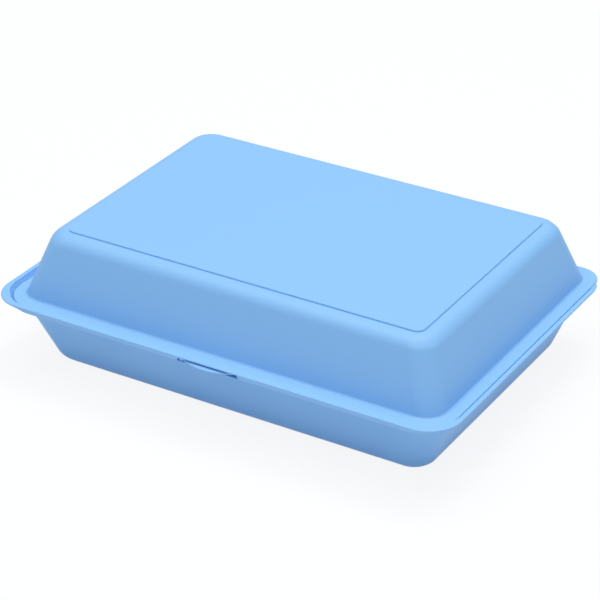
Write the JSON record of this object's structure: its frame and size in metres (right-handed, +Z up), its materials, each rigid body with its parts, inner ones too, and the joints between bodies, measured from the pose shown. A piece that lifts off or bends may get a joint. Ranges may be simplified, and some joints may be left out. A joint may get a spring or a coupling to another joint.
{
  "type": "reusable meal container",
  "caption": "Reusable rectangular meal container: drafted tray and domed lid joined by rear clip hinges, with a raised lip around the lid's flange and a front finger latch.",
  "frame": {"origin": "on the table, under the middle of the closed container's overall box", "axes": "+X along the long side, to the right seen from the front; the latch faces -Y and the hinges are at +Y; +Z up"},
  "size_m": [0.2286, 0.172, 0.0646],
  "materials": {
    "tray_plastic": "light blue moulded plastic, fine matte grain",
    "lid_plastic": "light blue moulded plastic, fine matte grain"
  },
  "bodies": {
    "tray": {"tray": "tray_plastic"},
    "lid": {"lid": "lid_plastic"}
  },
  "joints": [
    {"name": "lid_hinge", "type": "hinge", "parent": "tray", "child": "lid", "pos_m": [0, 0.08305, 0.03377], "axis": [-1, 0, 0], "range_deg": [0, 180]}
  ]
}
